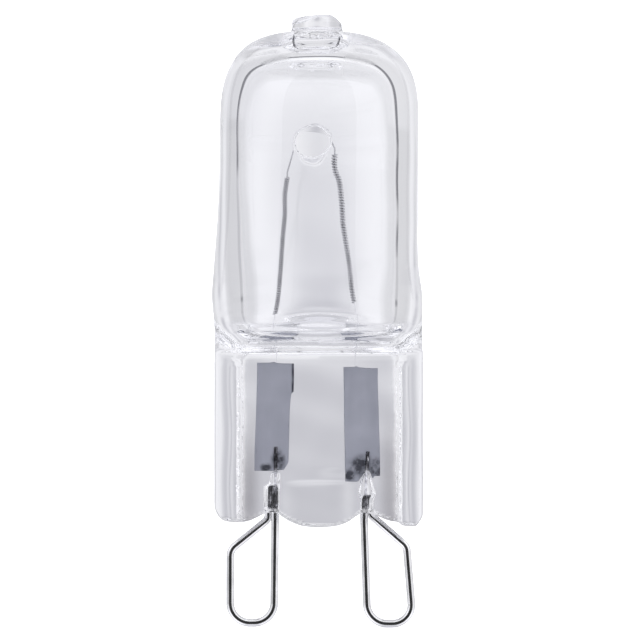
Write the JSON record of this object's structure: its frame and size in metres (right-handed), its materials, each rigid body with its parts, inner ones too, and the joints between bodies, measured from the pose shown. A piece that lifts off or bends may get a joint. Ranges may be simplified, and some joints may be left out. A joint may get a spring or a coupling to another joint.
{
  "type": "halogen capsule bulb",
  "caption": "Clear quartz halogen capsule: round bulb with exhaust tip, flat press seal with foils, coiled filament, wire-loop pins below for a plug-in lampholder.",
  "frame": {"origin": "midway between the two wire-loop pins, in the plane where they leave the press seal", "axes": "+Z along the lamp axis from the pins to the exhaust tip, X across the two pins, -Y the front face of the press seal"},
  "size_m": [0.0141, 0.0132, 0.0409],
  "materials": {
    "quartz": "clear fire-polished",
    "tungsten": "drawn, wound",
    "lead_wire": "drawn",
    "foil": "rolled, satin",
    "pin_wire": "plated, bright"
  },
  "bodies": {
    "root": {"quartz_envelope": "quartz", "filament_coil": "tungsten", "inner_lead_left": "lead_wire", "inner_lead_right": "lead_wire", "seal_foil_left": "foil", "seal_foil_right": "foil", "contact_loop_left": "pin_wire", "contact_loop_right": "pin_wire"}
  },
  "joints": []
}
